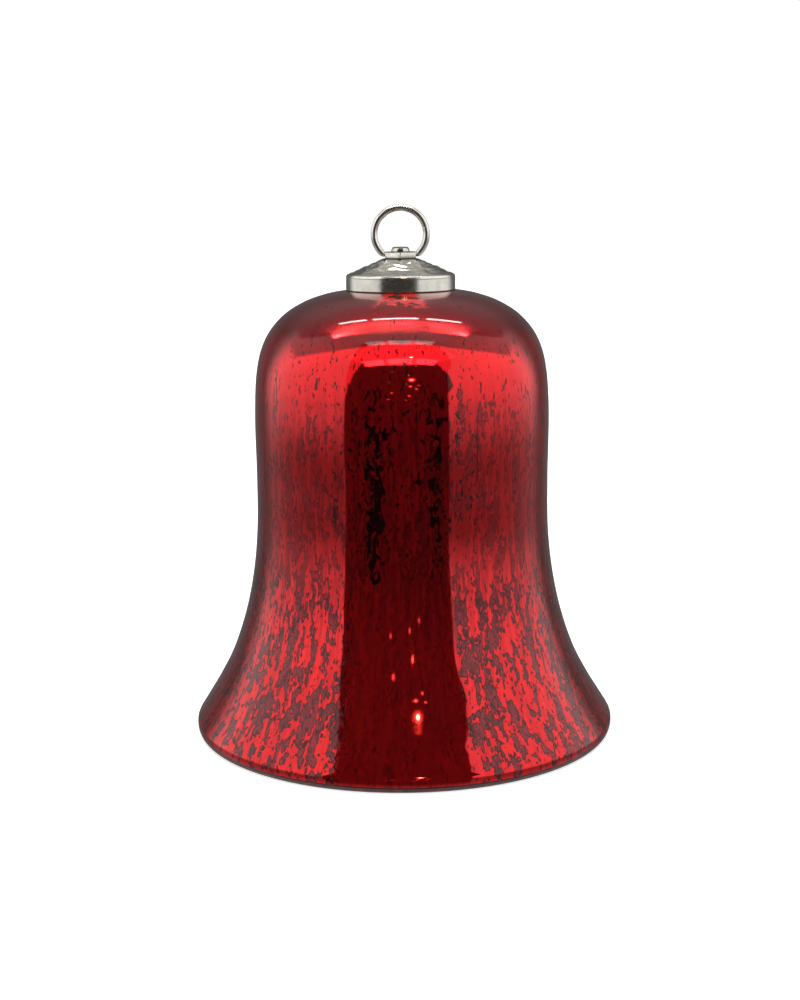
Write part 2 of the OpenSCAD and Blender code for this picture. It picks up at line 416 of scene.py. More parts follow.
def silver_loss(tree, place):
    """Where the silvering has gone: blotches, their dark outlines, wiggly veins, drawn-out streaks and
    specks, each up to 1. near is beside a blotch. up is the height as a share of the shoulder's."""
    blotch_at, height = round_the_bell(tree, place, 0.28)
    bubble_at, _ = round_the_bell(tree, place, 0.55)
    patch_at, _ = round_the_bell(tree, place, 0.6)
    streak_at, _ = round_the_bell(tree, place, 0.09)
    up = tree.line(height, 0.0, SHOULDER_Z)

    # The field is over its limit in a blotch. The limit is lowest on the flare, so most is lost there.
    limit = tree.ramp(up, [(0.0, 0.57), (0.05, 0.515), (0.12, 0.495), (0.33, 0.505), (0.42, 0.535),
                           (0.60, 0.565), (0.76, 0.60), (0.84, 0.66), (1.0, 0.74)])
    patches = tree.math("SUBTRACT", tree.noise(patch_at, 34, detail=2), 0.5)
    bubbles = tree.math("SUBTRACT", 0.42, tree.cells(bubble_at, 560))
    field = tree.noise(blotch_at, 270, detail=2.5, roughness=0.6, distortion=0.6)
    field = tree.fit(patches, 0.30, field)
    field = tree.fit(bubbles, 0.30, field)
    over = tree.math("SUBTRACT", field, limit)

    wiggle = tree.noise(blotch_at, 520, detail=2, roughness=0.55, distortion=1.3)
    fine = tree.noise(bubble_at, 610, detail=2, roughness=0.5)
    speck_limit = tree.ramp(up, [(0.0, 0.64), (0.35, 0.63), (0.6, 0.65), (0.78, 0.645), (0.9, 0.66),
                                 (1.0, 0.74)])
    over_specks = tree.math("SUBTRACT", fine, speck_limit)

    # The silvering is nearly whole in the middle of the front, low down.
    across, along = around(tree, place)
    whole = tree.times(tree.step(tree.math("ABSOLUTE", across), 0.318, 0.290),
                       tree.step(along, -0.6, -0.8), tree.step(up, 0.47, 0.37))
    lost = tree.fit(whole, -0.85, 1.0)
    return SimpleNamespace(
        blotch=tree.times(tree.step(over, -0.006, 0.008), lost),
        outline=tree.times(tree.step(tree.math("ABSOLUTE", over), 0.042, 0.016), lost),
        specks=tree.times(tree.step(over_specks, -0.005, 0.012), lost),
        vein=tree.step(tree.off(wiggle, 0.5), 0.050, 0.015),
        near=tree.step(over, -0.11, -0.02),
        streak=tree.noise(streak_at, 420, detail=4, roughness=0.65, distortion=0.3),
        bubble_at=bubble_at, height=height, up=up)


def layer_tilt(tree, height):
    """The silver layer under the thick shoulder isn't level with the outer glass: it leans up."""
    lean_from, lean_to, depth = SHOULDER_Z - 42 * MM, SHOULDER_Z - 3 * MM, 7.3 * MM
    return tree.bump(tree.step(height, lean_from, lean_to), 1.0, -depth)


def black_clusters(tree, place, loss):
    """Bubbly black patches in two columns on the front of the waist, and one thin upright scratch."""
    across, along = around(tree, place)
    left = tree.step(tree.off(across, -0.18), 0.09, 0.01, 0.0, 0.16)
    right = tree.step(tree.off(across, 0.21), 0.07, 0.01, 0.0, 0.10)
    waist = tree.ramp(loss.up, [(0.40, 0.0), (0.52, 0.07), (0.74, 0.07), (0.82, 0.0)])
    clump = tree.noise(loss.bubble_at, 330, detail=3, roughness=0.6, distortion=0.8)
    for more in (left, right, waist):
        clump = tree.math("ADD", clump, more)
    in_front = tree.step(along, -0.80, -0.92)
    at_waist = tree.math("GREATER_THAN", waist, 0.004)
    black = tree.times(tree.step(clump, 0.672, 0.690), in_front, at_waist)

    wander = tree.fit(tree.noise(place, 90, detail=2), 0.02, across)
    span = tree.ramp(loss.up, [(0.612, 0.0), (0.625, 1.0), (0.75, 1.0), (0.765, 0.0)])
    scratch = tree.times(tree.step(tree.off(wander, 0.484), 0.0065, 0.0025), span,
                         tree.math("LESS_THAN", along, 0.0), 0.75)
    return tree.math("MAXIMUM", black, scratch)


def red_glass():
    """The silvered wall: bright red with plum blotches low down, smoother and darker at the waist, and
    deep red on the shoulder, with a painted glow under the front of the cap: the base colour brightened
    there as if lit from inside."""
    made, tree, shader = material("red_silvered_glass")
    place = tree.object_place()
    loss = silver_loss(tree, place)
    up, blotch, vein, streak = loss.up, loss.blotch, loss.vein, loss.streak
    dull_by_height = tree.ramp(up, [(0.0, 0.15), (0.30, 0.32), (0.40, 0.55), (0.60, 0.70), (0.74, 0.55),
                                    (0.83, 0.08), (1.0, 0.03)])
    deep = tree.ramp(up, [(0.0, 1.0), (0.36, 1.0), (0.42, 0.88), (0.50, 0.78), (0.70, 0.78), (0.78, 0.88),
                          (0.86, 1.0), (0.90, 1.0), (0.925, 0.5), (0.945, 0.4), (1.0, 0.4)])
    waist = tree.ramp(up, [(0.36, 0.0), (0.45, 0.75), (0.74, 0.75), (0.84, 0.0)])

    def by_height(colour, at_waist):
        return tree.mix(waist, colour, at_waist)

    haze = tree.noise(place, 45, detail=3)
    dulling = tree.times(tree.step(streak, 0.42, 0.58), dull_by_height)
    red = tree.mix(tree.line(haze, 0.3, 0.7), (0.84, 0.008, 0.010), (0.72, 0.005, 0.010))
    red = tree.mix(dulling, red, by_height((0.17, 0.004, 0.008), (0.54, 0.006, 0.010)))
    red = tree.mix(tree.times(vein, loss.near, 0.75), red,
                   by_height((0.13, 0.003, 0.007), (0.38, 0.004, 0.008)))
    plum = tree.mix(tree.line(streak, 0.35, 0.65), (0.135, 0.003, 0.007), (0.07, 0.002, 0.004))
    plum = tree.mix(tree.times(vein, 0.6), plum, (0.42, 0.008, 0.014))
    plum = by_height(plum, (0.44, 0.006, 0.010))
    colour = tree.mix(tree.times(blotch, 0.97), red, plum)
    colour = tree.mix(tree.times(loss.outline, 0.93), colour,
                      by_height((0.028, 0.001, 0.003), (0.26, 0.003, 0.006)))
    colour = tree.mix(tree.times(loss.specks, 0.85), colour,
                      by_height((0.045, 0.002, 0.006), (0.20, 0.003, 0.006)))
    edge = tree.step(loss.height, LIP_BARE + 0.9 * MM, LIP_BARE + 0.5 * MM)
    colour = tree.mix(edge, colour, (0.05, 0.002, 0.004))

    across, along = around(tree, place)
    # Painted glow: the base colour is brightened in broken patches under the front of the cap, as if lit
    # from inside, though nothing there gives light.
    glow = tree.times(tree.step(up, 0.971, 0.978), tree.step(tree.math("ABSOLUTE", across), 0.36, 0.20),
                      tree.math("LESS_THAN", along, 0.0),
                      tree.step(tree.noise(place, 210, detail=3), 0.40, 0.52))
    colour = tree.vector("SCALE", colour, scale=tree.math("MAXIMUM", deep, glow))
    black = tree.times(black_clusters(tree, place, loss), 0.93)
    tree.put(shader["Base Color"], tree.mix(black, colour, (0.006, 0.0005, 0.0005)))

    # Less metallic where the red shows through: in blotches, most on the flare, and in the painted glow.
    flare = tree.step(loss.height, 76 * MM, 44 * MM)
    seen_through = tree.times(blotch, tree.fit(flare, 0.34, 0.05))
    metallic = tree.math("SUBTRACT", tree.line(flare, 0.0, 1.0, 0.90, 0.88), seen_through)
    tree.put(shader["Metallic"], tree.fit(glow, -0.8, metallic))
    rough = tree.fit(blotch, 0.10, 0.035)
    rough = tree.fit(dulling, 0.08, rough)
    rough = tree.math("ADD", rough, tree.step(up, 0.915, 0.935, 0.0, 0.20))
    tree.put(shader["Roughness"], rough)
    shader["Coat Weight"].default_value = 0.7
    shader["Coat Roughness"].default_value = 0.015
    shader["Coat IOR"].default_value = 1.42
    ripple = tree.noise(place, 38, detail=2)
    ripple_strength, ripple_depth = 0.05, 1.2 * MM
    wavy = tree.bump(ripple, ripple_strength, ripple_depth, layer_tilt(tree, loss.height))
    ridged = tree.bump(tree.fit(blotch, -0.6, streak), 0.10, 0.1 * MM, wavy)
    tree.put(shader["Normal"], ridged)
    tree.put(shader["Coat Normal"], tree.bump(ripple, ripple_strength, ripple_depth))
    return made


def silver_inside():
    """The back of the silvering: cloudy silver that shows the same blotches and veins."""
    made, tree, shader = material("silvering_inside")
    place = tree.object_place()
    loss = silver_loss(tree, place)
    cloud = tree.noise(place, 60, detail=4)
    silver = tree.mix(tree.line(cloud, 0.35, 0.7), (0.74, 0.72, 0.69), (0.55, 0.53, 0.50))
    silver = tree.mix(tree.step(loss.streak, 0.4, 0.65, 0.0, 0.30), silver, (0.30, 0.27, 0.25))
    silver = tree.mix(tree.times(loss.vein, loss.near, 0.6), silver, (0.16, 0.07, 0.06))
    colour = tree.mix(tree.times(loss.blotch, 0.88), silver, (0.20, 0.014, 0.018))
    colour = tree.mix(tree.times(loss.outline, 0.6), colour, (0.10, 0.06, 0.055))
    tree.put(shader["Base Color"], colour)
    tree.put(shader["Metallic"], tree.fit(loss.blotch, -0.35, 0.95))
    tree.put(shader["Roughness"], tree.fit(loss.blotch, 0.15, 0.24))
    tree.put(shader["Normal"], tree.bump(tree.math("ADD", cloud, loss.blotch), 0.25, 0.2 * MM))
    return made


def bare_glass():
    """Uncoated grey glass at the lip's edge and on the neck."""
    made, tree, shader = material("bare_glass")
    place = tree.object_place()
    cloud = tree.noise(place, 150, detail=3)
    nibbled = tree.noise(place, 900, detail=2)
    colour = tree.mix(tree.line(cloud, 0.35, 0.65), (0.10, 0.060, 0.052), (0.06, 0.032, 0.030))
    colour = tree.mix(tree.step(nibbled, 0.62, 0.7), colour, (0.05, 0.02, 0.02))
    # Painted shade: the underside of the foot, where it stands on the floor, is darker.
    under = tree.step(tree.xyz(place)[2], 0.7 * MM, 0.2 * MM)
    colour = tree.mix(under, colour, (0.035, 0.012, 0.012))
    tree.put(shader["Base Color"], colour)
    tree.put(shader["Roughness"], tree.line(nibbled, 0.3, 0.7, 0.06, 0.2))
    shader["IOR"].default_value = 1.5
    shader["Specular IOR Level"].default_value = 0.15
    tree.put(shader["Normal"], tree.bump(cloud, 0.2, 0.3 * MM))
    return made


# ---------------------------------------------------------------- metal and rubber materials


def metal(name, bright, dull, tarnish, grain, rough, tarnish_level=0.62, scratch=0.25, relief_depth=1.0,
          painted_shade_above=None, shade_bands=()):
    """Plated metal: cloudy colour, tarnish specks, fine scratches and worn roughness.
    grain is the scratches' stretch along X, Y and Z. Painted shade: darker above the given height, with
    a painted shadow round the hub in the middle, and painted shade lines at the bands: (height, half
    width, amount)."""
    made, tree, shader = material(name)
    place = tree.object_place()
    height = tree.xyz(place)[2]
    cloud = tree.noise(place, 220, detail=4, roughness=0.6)
    spots = tree.noise(place, 1400, detail=3, roughness=0.6)
    lines = tree.noise(tree.vector("MULTIPLY", place, grain), 5200, detail=2, roughness=0.7)
    tarnished = tree.step(spots, tarnish_level, tarnish_level + 0.08)
    colour = tree.mix(tree.line(cloud, 0.32, 0.68), bright, dull)
    colour = tree.mix(tree.times(tarnished, 0.7), colour, tarnish)
    colour = tree.mix(tree.step(lines, 0.60, 0.72, 0.0, scratch), colour, tarnish)
    if painted_shade_above:
        # Painted shade: the plating above the given height is darkened.
        shaded_top = tree.step(height, painted_shade_above, painted_shade_above + 0.6 * MM)
        colour = tree.mix(tree.times(shaded_top, 0.54), colour, (0.24, 0.235, 0.22))
        # Painted contact shadow: darker still on the land round the hub.
        from_hub = tree.vector("LENGTH", flat(tree, place))
        hub_contact_shadow = tree.times(shaded_top, tree.step(from_hub, 9.3 * MM, 7.7 * MM, 0.0, 0.85))
        colour = tree.mix(hub_contact_shadow, colour, (0.05, 0.045, 0.04))
    # Painted shade lines: each band darkens the colour where parts meet.
    for level, half, amount in shade_bands:
        dark = tree.step(tree.off(height, level), half, half * 0.45, 0.0, amount)
        colour = tree.mix(dark, colour, (0.06, 0.05, 0.038))
    tree.put(shader["Base Color"], colour)
    tree.put(shader["Metallic"], 1.0)
    wear = tree.line(cloud, 0.3, 0.7, rough * 0.7, rough * 1.5)
    wear = tree.fit(tarnished, 0.2, wear)
    tree.put(shader["Roughness"], tree.fit(tree.line(lines, 0.4, 0.75), 0.07, wear))
    relief = tree.bump(lines, 0.10 * relief_depth, 0.04 * MM)
    tree.put(shader["Normal"], tree.bump(spots, 0.08 * relief_depth, 0.06 * MM, relief))
    return made


def rubber():
    """Dull black rubber with fine pores."""
    made, tree, shader = material("gasket_rubber")
    place = tree.object_place()
    cloud = tree.noise(place, 300, detail=3)
    pores = tree.noise(place, 2600, detail=2)
    black = tree.mix(tree.line(cloud, 0.3, 0.7), (0.012, 0.012, 0.013), (0.03, 0.03, 0.031))
    tree.put(shader["Base Color"], black)
    tree.put(shader["Roughness"], tree.line(pores, 0.35, 0.7, 0.55, 0.8))
    tree.put(shader["Normal"], tree.bump(pores, 0.35, 0.08 * MM))
    return made


ROUND = (1, 1, 6)               # scratches that run round the piece
BROWN = (0.20, 0.17, 0.13)
mat_red = red_glass()
mat_inside = silver_inside()
mat_bare = bare_glass()
mat_rubber = rubber()
# The cap's cone is painted darker as shade, with a painted shadow round the hub.
mat_cap = metal("nickel_cap", (0.87, 0.84, 0.755), (0.78, 0.75, 0.67), (0.16, 0.14, 0.12),
                (0.6, 0.6, 2.5), 0.16, painted_shade_above=cap_lo.z + 6.3 * MM)
# The bands are painted shade lines: at the hub's foot on the cap, where the screw head sits on the hub,
# and round the head's top.
mat_fittings = metal("nickel_fittings", (0.80, 0.765, 0.68), (0.72, 0.68, 0.60), BROWN, ROUND, 0.13,
                     shade_bands=[(hub_lo.z, 0.55 * MM, 0.9), (hub_hi.z, 0.30 * MM, 0.85),
                            (screw_hi.z, 0.60 * MM, 0.8)])
mat_ring = metal("nickel_ring", (0.92, 0.89, 0.82), (0.84, 0.81, 0.74), (0.26, 0.23, 0.19),
                 (2, 2, 2), 0.19, tarnish_level=0.70, scratch=0.06, relief_depth=0.1)
mat_zinc = metal("zinc_steel", (0.52, 0.53, 0.55), (0.38, 0.39, 0.41), BROWN, ROUND, 0.30,
                 tarnish_level=0.58)
mat_clapper = metal("clapper_plate", (0.74, 0.71, 0.65), (0.60, 0.58, 0.54), (0.18, 0.15, 0.12), ROUND,
                    0.16)


def dress(obj, node, body, slot, *materials):
    """Gives a piece its materials and its CAD body, and hides the CAD node it replaces. slot is not used.
    """
    for made in materials:
        obj.data.materials.append(made)
    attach(obj, body)
    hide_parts(node)


# ---------------------------------------------------------------- bell glass

# Millimetres. CURVE is the outside, (radius, height) from the lip up, for a bell of CURVE_R by CURVE_H.
WALL = 2.8
CURVE = [(92, 4.2), (91.72, 6.1), (90, 9), (87, 13.8), (82, 22), (75.4, 35), (69.7, 52), (65.8, 70),
         (63.6, 90), (63.3, 112), (63.6, 138), (62.3, 159), (58.6, 172), (51.6, 181.3), (42.6, 187.3),
         (33, 190.8)]
CURVE_R, CURVE_H = 92, 192.4
NECK_R, BORE_R = 19.8, 16.8
LIP_ROUND, LIP_STEPS = 2.4, 12


def cubic(a, b, c, d, t):
    """A point from b, at t = 0, to c, at t = 1, on a smooth curve through all four."""
    square = 2 * a - 5 * b + 4 * c - d
    cube = 3 * b - a - 3 * c + d
    return 0.5 * (2 * b + (c - a) * t + square * t * t + cube * t ** 3)


def bell_outline():
    """The wall's outline, from the foot round the outside, over the neck and back inside."""
    wide = GLASS_R / MM / CURVE_R
    high = SHOULDER_Z / MM / CURVE_H
    stations = [Vector((r * wide, z * high)) for r, z in CURVE]
    stations.append(Vector((cap_hi.x / MM + 0.6, SHOULDER_Z / MM)))
    before = Vector((stations[1].x, 2 * stations[0].y - stations[1].y))
    after = Vector((stations[-1].x - 9, stations[-1].y + 0.6))
    knots = [before, *stations, after]
    steps = 9
    spans = range(1, len(knots) - 2)
    outer = [cubic(*knots[i - 1:i + 3], s / steps) for i in spans for s in range(steps)]
    outer.append(stations[-1])
    inner = []
    for i, p in enumerate(outer):
        along = (outer[min(i + 1, len(outer) - 1)] - outer[max(i - 1, 0)]).normalized()
        inner.append(p + WALL * Vector((-along.y, along.x)))
    foot_r = GLASS_R / MM - LIP_ROUND
    lip_z = stations[0].y
    turns = [math.pi / 2 * i / LIP_STEPS for i in range(LIP_STEPS)]
    lip = [Vector((foot_r + LIP_ROUND * math.sin(a), lip_z * (1 - math.cos(a)))) for a in turns]
    top = NECK_TOP / MM
    seat = SHOULDER_Z / MM - WALL
    neck = [(NECK_R + 1.6, top - 5.55), (NECK_R + 0.5, top - 4.9), (NECK_R, top - 3.6),
            (NECK_R, top - 0.3), (NECK_R - 0.3, top), (BORE_R + 0.3, top), (BORE_R, top - 0.3),
            (BORE_R, seat + 0.6), (BORE_R + 0.6, seat)]
    inner_foot = [(foot_r - 0.7, 2.2), (foot_r - 1.1, 1.2), (foot_r - 1.4, 0.6), (foot_r - 1.7, 0.15),
                  (foot_r - 2, 0)]
    return lip, outer, [Vector(p) for p in neck], inner[::-1], [Vector(p) for p in inner_foot]


def hand_blown(r, z, angle):
    """Slow waves of a blown wall: a little out of round, with soft swells, none at lip or neck."""
    fade = 20 * MM
    p = Vector((math.sin(angle), -math.cos(angle), z / 0.06))
    away = min(1.0, max(0.0, (z - 4 * MM) / fade)) * min(1.0, max(0.0, (SHOULDER_Z - z) / fade))
    slow = noise.noise(p * 1.6) * 0.16 * MM
    quick = noise.noise(p * 4.1 + Vector((7, 3, 1))) * 0.035 * MM
    return r + away * (slow + quick), z


def bell():
    lip, outer, neck, inner, inner_foot = bell_outline()
    outline = [p * MM for p in lip + outer + neck + inner + inner_foot]
    segments = 224
    bm = bmesh.new()
    faces = lathe_into(bm, outline, segments, True, hand_blown)
    inner_first = len(lip) + len(outer)
    for i, face in enumerate(faces):
        row = i // segments
        height = sum(v.co.z for v in face.verts) / len(face.verts)
        coated = row < inner_first - 1 and height > LIP_BARE
        inside = row >= inner_first + len(neck) - 1 and height > LIP_BARE
        face.material_index = 0 if coated else 1 if inside else 2
    obj = finished("glass_bell", bm, smooth_angle=50, weighted=False)
    dress(obj, "bell_glass", "bell", "silvered_red_glass", mat_red, mat_inside, mat_bare)


# ---------------------------------------------------------------- cap, hub and screw

LAND_Z = cap_hi.z / MM
CAP_Z = cap_lo.z / MM
CAP_R = cap_hi.x / MM
SHAFT_R = 2.05                  # the screw's hole, in millimetres
HINGE_Z = hub_lo.z + 1.65 * MM  # the ring's pins
PIN_R = 0.8 * MM


def hammered(r, z, angle):
    """Soft dents of the pressed cone, none on the flat top or the skirt."""
    if z < (CAP_Z + 6.4) * MM:
        return r, z
    from_land = min(1.0, max(0.0, (r / MM - 8.8) / 3))
    from_skirt = min(1.0, max(0.0, (CAP_R - 0.8 - r / MM) / 2.0))
    p = Vector((r * math.sin(angle), -r * math.cos(angle), 0)) / (4.6 * MM)
    dent = noise.noise(p) * 0.46 + noise.noise(p * 2.1 + Vector((5, 9, 2))) * 0.16
    ring_wave = 0.20 * math.sin(r / MM * 2.1 + 3.0 * noise.noise(p * 0.7)) * min(1, 12 * MM / r) ** 2
    return r, z + from_land * from_skirt * (dent + ring_wave - 0.12) * MM


def cap():
    """A thin pressed cap: an upright skirt, a hammered cone and a flat land for the hub."""
    wall, land_r = 0.8, 7.5
    cone_foot = CAP_Z + 6.8
    cone_r = CAP_R - 1.3
    outside = [(CAP_R - 0.1, CAP_Z, 0.15), (CAP_R, CAP_Z + 0.4, 0.3), (CAP_R - 0.04, CAP_Z + 5.2, 0.3),
               (CAP_R, CAP_Z + 5.75, 0.2), (CAP_R - 0.3, CAP_Z + 6.5, 0.3),
               (cone_r, cone_foot + 0.25, 0.8)]
    rise = (LAND_Z - cone_foot) / (CAP_R - 0.9 - land_r)
    cone = []
    for i in range(1, 30):
        r = cone_r - (cone_r - land_r - 0.4) * i / 30
        cone.append((r, LAND_Z - (r - land_r) * rise, 0))
    land = [(land_r, LAND_Z, 0.6), (SHAFT_R, LAND_Z, 0.0)]
    inside = [(SHAFT_R, LAND_Z - wall, 0), (land_r - 0.2, LAND_Z - wall, 0.3),
              (CAP_R - 0.9, CAP_Z + 5.9, 0.6), (CAP_R - wall, CAP_Z + 5.2, 0.3),
              (CAP_R - wall, CAP_Z, 0.1)]
    outline = fillet(outside + cone + land + inside, closed=True, steps=4)
    obj = lathe("pressed_cap", outline, 192, True, hammered, smooth_angle=40)
    dress(obj, "cap", "bell", "plated_cap", mat_cap)


def hub():
    """The hexagon, with the lapped end of its strip on the front left side, a hole each side for the
    ring's pins and one down the middle for the screw."""
    flats = min(hub_hi.x - hub_lo.x, 13.1 * MM)
    z0, z1 = hub_lo.z, hub_hi.z
    bm = bmesh.new()
    hexagon_into(bm, flats, z0, z1)
    side = flats / math.sqrt(3)
    lap, lap_h, margin, sunk = 0.45 * MM, 1.75 * MM, 0.9 * MM, 0.2 * MM
    turn = math.radians(-30)
    out = Vector((math.sin(turn), -math.cos(turn), 0))
    sideways = Vector((math.cos(turn), math.sin(turn), 0))
    centre = out * (flats + lap - sunk) / 2 + sideways * margin / 2 + Vector((0, 0, z0 + lap_h / 2))
    block_into(bm, centre, (side - margin, lap + sunk, lap_h), turn)
    obj = finished("hex_hub", bm, weighted=False)
    bevelled(obj, 0.2 * MM, 3)
    drill = bmesh.new()
    count = 12
    for x in (-1, 1):
        ends = [Vector((x * (3.0 + 0.5 * i) * MM, 0, HINGE_Z)) for i in range(count)]
        sweep_into(drill, ends, [PIN_R + 0.06 * MM] * count, sides=32)
    low, high = z0 / MM - 1, z0 / MM + 5
    lathe_into(drill, fillet([(0, low, 0), (SHAFT_R, low, 0), (SHAFT_R, high, 0), (0, high, 0)], False),
               48, False)
    drilled(obj, drill)
    dress(obj, "hub", "bell", "plated_fittings", mat_fittings)


def threaded(r, z, angle):
    """A screw thread on the shank, below the cap."""
    pitch, depth = 0.7 * MM, 0.2 * MM
    if z > LAND_Z * MM - 2 * MM or r < 1.5 * MM or r > 2.2 * MM:
        return r, z
    phase = (z / pitch - angle / (2 * math.pi)) % 1.0
    return r - depth * (1 - abs(2 * phase - 1)), z


def hanger_screw():
    """A button head over the hub and a threaded shank through the cap."""
    z0, z1 = screw_lo.z / MM, screw_hi.z / MM
    under = hub_hi.z / MM
    row = 0.12
    rows = int((LAND_Z - 3 - z0) / row)
    shank = [(0, z0, 0), (1.5, z0, 0), (1.9, z0 + 0.4, 0)]
    shank += [(2.0, z0 + 0.5 + row * i, 0) for i in range(rows)]
    head = [(2.0, under, 0), (3.75, under, 0.1), (3.9, under + 0.2, 0.15), (3.86, under + 0.75, 0.2),
            (3.35, z1 - 0.18, 0.35), (2.7, z1, 0.3), (0, z1, 0)]
    outline = fillet(shank + head, closed=False, steps=4)
    obj = lathe("hanger_screw_turned", outline, 64, False, threaded)
    dress(obj, "hanger_screw", "bell", "plated_fittings", mat_fittings)


# ---------------------------------------------------------------- ring


def ring():
    """One wire: a pin in the hub's side hole, a smooth bend, round the ring, and the same at its other
    end. The wire has a small kink on the left and a nick on the right."""
    wire = (ring_hi.y - ring_lo.y) / 2
    radius = (ring_hi.x - ring_lo.x) / 2 - wire
    centre = Vector((0, 0, ring_hi.z - wire - radius))
    start, sweep, steps = -40, 260, 150
    nick_at, kink_at = 16, 132
    loop = arc(centre, radius, start, start + sweep, steps)
    root = loop[0]
    turn_in = Vector((6.3 * MM, 0, HINGE_Z))
    tangent = (loop[0] - loop[1]).normalized()
    bend = bezier(turn_in, turn_in + Vector((1.0 * MM, 0, 0)), root + tangent * 0.9 * MM, root, 12)

    def swell(share):
        """The wire's radius on its way from the pin's to its own."""
        t = min(1.0, share)
        return PIN_R + (wire - PIN_R) * t * t * (3 - 2 * t)

    right = [(Vector((x * MM, 0, HINGE_Z)), PIN_R) for x in (3.4, 4.0, 5.0, 5.7)]
    right += [(p, swell(i / 9)) for i, p in enumerate(bend[:-1])]
    left = [(Vector((-p.x, 0, p.z)), r) for p, r in reversed(right)]
    hoop = []
    for i, p in enumerate(loop):
        angle = start + sweep * i / steps
        kink = 0.10 * MM * math.exp(-((angle - kink_at) / 5) ** 2)
        nick = 0.16 * MM * math.exp(-((angle - nick_at) / 0.9) ** 2)
        hoop.append((p - (p - centre).normalized() * kink, wire - nick))
    path, radii = zip(*right, *hoop, *left)
    bm = bmesh.new()
    sweep_into(bm, path, radii, sides=28)
    obj = finished("hanging_ring_wire", bm, smooth_angle=60, weighted=False)
    dress(obj, "hanging_ring", "ring", "plated_ring", mat_ring)


# ---------------------------------------------------------------- seals and inner hardware


def washer(name, node, bore, slot, made, rounding, split=0.0):
    """A flat ring that fills its CAD node's box, with rounded edges. split is the width of a cut."""
    lo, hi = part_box(node)
    z0, z1, outer = lo.z / MM, hi.z / MM, hi.y / MM
    corners = [(bore, z0, rounding), (outer, z0, rounding), (outer, z1, rounding), (bore, z1, rounding)]
    obj = lathe(name, fillet(corners), 96)
    if split:
        slit = bmesh.new()
        block_into(slit, (outer * MM * 0.75, 0, (z0 + z1) / 2 * MM), (outer * MM, split, 4 * MM), 0.25)
        cut(obj, finished(name + "_slit", slit, weighted=False))
    dress(obj, node, "bell", slot, made)


def neck_gasket():
    """A seal between the neck and the cap, higher at its bore."""
    lo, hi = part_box("neck_gasket")
    z0, z1, outer = lo.z / MM, hi.z / MM, hi.x / MM
    bore = BORE_R - 0.6
    drop = (z1 - z0) * 0.58
    corners = [(bore, z0, 0.2), (outer, z0, 0.3), (outer, z1 - drop, 0.2), (bore, z1, 0.2)]
    obj = lathe("neck_seal", fillet(corners), 96)
    dress(obj, "neck_gasket", "bell", "gasket_rubber", mat_rubber)


def spreader_plate():
    """A pressed plate with a turned-down edge and a ring bead, clamped under the glass."""
    lo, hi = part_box("spreader_plate")
    z0, z1, outer = lo.z / MM, hi.z / MM, hi.x / MM
    sheet = 1.2
    floor_z = z1 - sheet
    bead = [(9.5, z1, 0.4), (8.6, z1 - 0.45, 0.4), (7.7, z1, 0.4)]
    under = [(7.5, floor_z, 0.4), (8.6, floor_z - 0.45, 0.4), (9.7, floor_z, 0.4)]
    bore = [(SHAFT_R, z1, 0), (SHAFT_R, floor_z, 0.1)]
    corners = [(outer, z0, 0.25), (outer, z1, 0.9), *bead, *bore, *under,
               (outer - sheet, floor_z, 0.4), (outer - sheet, z0, 0.25)]
    obj = lathe("spreader_plate_pressed", fillet(corners), 128)
    dress(obj, "spreader_plate", "bell", "zinc_steel", mat_zinc)


def hex_piece(name, node, bore, chamfer):
    """A nut or cup: a chamfered six-sided bar, bored from below."""
    lo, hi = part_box(node)
    bm = bmesh.new()
    hexagon_into(bm, hi.x - lo.x, lo.z, hi.z, chamfer)
    obj = finished(name, bm, weighted=False)
    bevelled(obj, 0.12 * MM, 2)
    drill = bmesh.new()
    depth = (hi.z - lo.z) / MM + 2
    outline = fillet([(0, -1, 0), (bore + 0.5, -1, 0), (bore, 0.45, 0), (bore, depth, 0), (0, depth, 0)],
                     False)
    lathe_into(drill, [(r, z + lo.z) for r, z in outline], 48, False)
    drilled(obj, drill)
    dress(obj, node, "bell", "zinc_steel", mat_zinc)


# ---------------------------------------------------------------- swivel and clapper

WIRE = 0.9 * MM


def wire_eye(bm, centre, radius, tail_z, plane):
    """A round eye bent from the wire, with its tail on the axis up or down to tail_z."""
    down = tail_z < centre.z
    first, last = (-62, 248) if down else (118, 428)
    loop = arc(centre, radius, first, last, 60, plane)
    start = loop[0]
    tangent = (loop[0] - loop[1]).normalized()
    way = -1 if down else 1
    join = Vector((0, 0, centre.z + way * (radius + 1.7 * MM)))
    bend = bezier(join, join - Vector((0, 0, way * 0.7 * MM)), start + tangent * 0.7 * MM, start, 10)
    tail = [Vector((0, 0, tail_z + (join.z - tail_z) * i / 24)) for i in range(24)]
    path = tail + bend[:-1] + loop
    up = Vector((0, 1, 0)) if plane == "xz" else Vector((1, 0, 0))
    sweep_into(bm, path, [WIRE] * len(path), sides=20, up=up)


def swivel_eye():
    ring_z = eye_lo.z + WIRE + 3 * MM
    head = eye_hi.z / MM
    bm = bmesh.new()
    wire_eye(bm, Vector((0, 0, ring_z)), 3 * MM, eye_hi.z - 0.6 * MM, "xz")
    lathe_into(bm, fillet([(0, head - 1.2, 0), (1.8, head - 1.2, 0.15), (1.8, head - 0.5, 0.4),
                           (1.2, head, 0.3), (0, head, 0)], False), 32, False)
    obj = finished("swivel_eye_wire", bm, smooth_angle=50, weighted=False)
    dress(obj, "swivel_eye", "swivel", "clapper_metal", mat_clapper)


